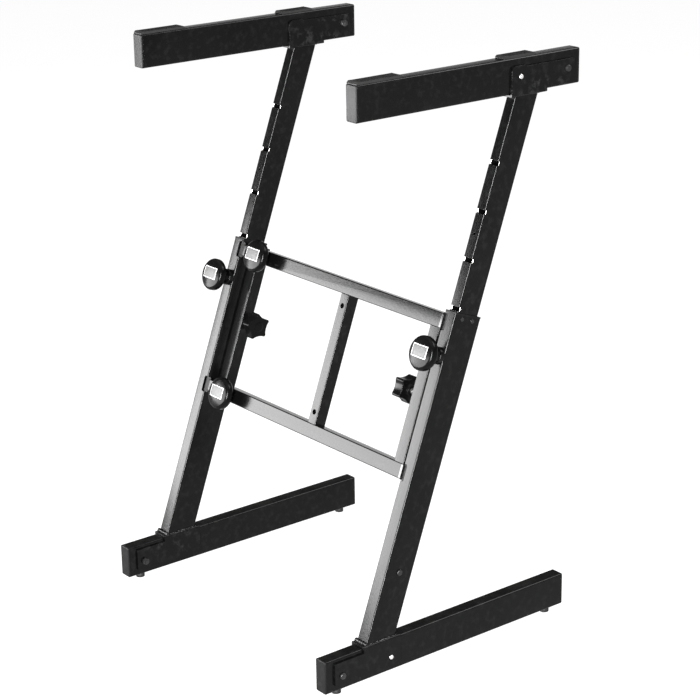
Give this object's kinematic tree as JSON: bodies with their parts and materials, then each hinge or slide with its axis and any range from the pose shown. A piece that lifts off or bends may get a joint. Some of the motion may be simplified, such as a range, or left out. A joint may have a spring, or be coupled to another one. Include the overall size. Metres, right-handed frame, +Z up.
{
  "type": "folding keyboard stand",
  "caption": "Z-shaped folding keyboard stand: leaning uprights with sliding masts, hinged feet and arms, and a cross frame that stretches in width.",
  "frame": {"origin": "on the floor, in the middle of the space that the stand fills", "axes": "+Z up, +Y to the rear, +X to the right as seen from the front"},
  "size_m": [0.554, 0.469, 0.863],
  "materials": {
    "black_paint": "semi-gloss black powder coat",
    "black_plastic": "moulded black plastic",
    "black_rubber": "matt black rubber",
    "zinc_steel": "bright zinc plate"
  },
  "bodies": {
    "cross_frame": {"upper_bar": "black_paint", "lower_bar": "black_paint", "right_post": "black_paint", "centre_post": "black_paint", "right_bar_plugs": "black_plastic", "right_post_knuckles": "black_paint", "right_hinge_pins": "zinc_steel"},
    "slide_frame": {"slide_bars": "black_paint", "left_post": "black_paint", "left_bar_plugs": "black_plastic", "left_post_knuckles": "black_paint", "left_hinge_pins": "zinc_steel"},
    "upper_clamp": {"upper_clamp_knob": "black_plastic", "upper_clamp_screw": "zinc_steel"},
    "lower_clamp": {"lower_clamp_knob": "black_plastic", "lower_clamp_screw": "zinc_steel"},
    "right_leg": {"right_outer_upright": "black_paint", "right_upright_collar": "black_plastic", "right_leg_fixings": "zinc_steel", "right_foot_bracket": "black_paint", "right_foot_pivot_bolt": "zinc_steel", "right_pin_boss": "black_paint", "right_leg_knuckles": "black_paint"},
    "right_foot": {"right_foot_tube": "black_paint", "right_foot_plugs": "black_plastic", "right_floor_pads": "black_rubber"},
    "right_foot_button": {"right_foot_button": "zinc_steel"},
    "right_mast": {"right_inner_upright": "black_paint", "right_arm_bracket": "black_paint", "right_arm_pivot_bolt": "zinc_steel"},
    "right_arm": {"right_arm_tube": "black_paint", "right_arm_plugs": "black_plastic", "right_rest_pads": "black_rubber"},
    "right_arm_button": {"right_arm_button": "zinc_steel"},
    "right_height_pull": {"right_height_knob": "black_plastic", "right_height_pin": "zinc_steel"},
    "right_star": {"right_star_knob": "black_plastic", "right_star_stud": "zinc_steel"},
    "left_leg": {"left_outer_upright": "black_paint", "left_upright_collar": "black_plastic", "left_leg_fixings": "zinc_steel", "left_foot_bracket": "black_paint", "left_foot_pivot_bolt": "zinc_steel", "left_pin_boss": "black_paint", "left_leg_knuckles": "black_paint"},
    "left_foot": {"left_foot_tube": "black_paint", "left_foot_plugs": "black_plastic", "left_floor_pads": "black_rubber"},
    "left_foot_button": {"left_foot_button": "zinc_steel"},
    "left_mast": {"left_inner_upright": "black_paint", "left_arm_bracket": "black_paint", "left_arm_pivot_bolt": "zinc_steel"},
    "left_arm": {"left_arm_tube": "black_paint", "left_arm_plugs": "black_plastic", "left_rest_pads": "black_rubber"},
    "left_arm_button": {"left_arm_button": "zinc_steel"},
    "left_height_pull": {"left_height_knob": "black_plastic", "left_height_pin": "zinc_steel"},
    "left_star": {"left_star_knob": "black_plastic", "left_star_stud": "zinc_steel"}
  },
  "joints": [
    {"name": "right_leg_fold", "type": "hinge", "parent": "cross_frame", "child": "right_leg", "pos_m": [0.237, -0.01514, 0.39078], "axis": [0, 0.342, 0.9397], "range_deg": [0, 90]},
    {"name": "right_foot_fold", "type": "hinge", "parent": "right_leg", "child": "right_foot", "pos_m": [0.252, -0.20622, 0.0304], "axis": [-1, 0, 0], "range_deg": [0, 290]},
    {"name": "right_foot_button_press", "type": "slide", "parent": "right_leg", "child": "right_foot_button", "axis": [-1, 0, 0], "range_m": [0, 0.003], "stiffness_N_per_m": 300, "springref_m": -0.002},
    {"name": "right_height", "type": "slide", "parent": "right_leg", "child": "right_mast", "axis": [0, 0.342, 0.9397], "range_m": [-0.2776, 0]},
    {"name": "right_arm_fold", "type": "hinge", "parent": "right_mast", "child": "right_arm", "pos_m": [0.252, 0.20902, 0.8333], "axis": [-1, 0, 0], "range_deg": [0, 290]},
    {"name": "right_arm_button_press", "type": "slide", "parent": "right_mast", "child": "right_arm_button", "axis": [-1, 0, 0], "range_m": [0, 0.003], "stiffness_N_per_m": 300, "springref_m": -0.002},
    {"name": "right_height_pull", "type": "slide", "parent": "right_leg", "child": "right_height_pull", "axis": [0, -0.9397, 0.342], "range_m": [0, 0.008], "stiffness_N_per_m": 600, "springref_m": -0.004},
    {"name": "right_star_turn", "type": "hinge", "parent": "cross_frame", "child": "right_star", "pos_m": [0.195, -0.02813, 0.39604], "axis": [1, 0, 0], "continuous": true},
    {"name": "left_leg_fold", "type": "hinge", "parent": "slide_frame", "child": "left_leg", "pos_m": [-0.237, 0.00431, 0.3837], "axis": [0, -0.342, -0.9397], "range_deg": [0, 90]},
    {"name": "left_foot_fold", "type": "hinge", "parent": "left_leg", "child": "left_foot", "pos_m": [-0.252, -0.20622, 0.0304], "axis": [-1, 0, 0], "range_deg": [0, 290]},
    {"name": "left_foot_button_press", "type": "slide", "parent": "left_leg", "child": "left_foot_button", "axis": [1, 0, 0], "range_m": [0, 0.003], "stiffness_N_per_m": 300, "springref_m": -0.002},
    {"name": "left_height", "type": "slide", "parent": "left_leg", "child": "left_mast", "axis": [0, 0.342, 0.9397], "range_m": [-0.2776, 0]},
    {"name": "left_arm_fold", "type": "hinge", "parent": "left_mast", "child": "left_arm", "pos_m": [-0.252, 0.20902, 0.8333], "axis": [-1, 0, 0], "range_deg": [0, 290]},
    {"name": "left_arm_button_press", "type": "slide", "parent": "left_mast", "child": "left_arm_button", "axis": [1, 0, 0], "range_m": [0, 0.003], "stiffness_N_per_m": 300, "springref_m": -0.002},
    {"name": "left_height_pull", "type": "slide", "parent": "left_leg", "child": "left_height_pull", "axis": [0, -0.9397, 0.342], "range_m": [0, 0.008], "stiffness_N_per_m": 600, "springref_m": -0.004},
    {"name": "left_star_turn", "type": "hinge", "parent": "slide_frame", "child": "left_star", "pos_m": [-0.195, -0.00868, 0.38896], "axis": [1, 0, 0], "continuous": true},
    {"name": "width", "type": "slide", "parent": "cross_frame", "child": "slide_frame", "axis": [-1, 0, 0], "range_m": [-0.03, 0.1]},
    {"name": "upper_clamp_turn", "type": "hinge", "parent": "cross_frame", "child": "upper_clamp", "pos_m": [-0.176, -0.01427, 0.5072], "axis": [0, -0.9397, 0.342], "continuous": true},
    {"name": "lower_clamp_turn", "type": "hinge", "parent": "cross_frame", "child": "lower_clamp", "pos_m": [-0.176, -0.08945, 0.30066], "axis": [0, -0.9397, 0.342], "continuous": true}
  ]
}
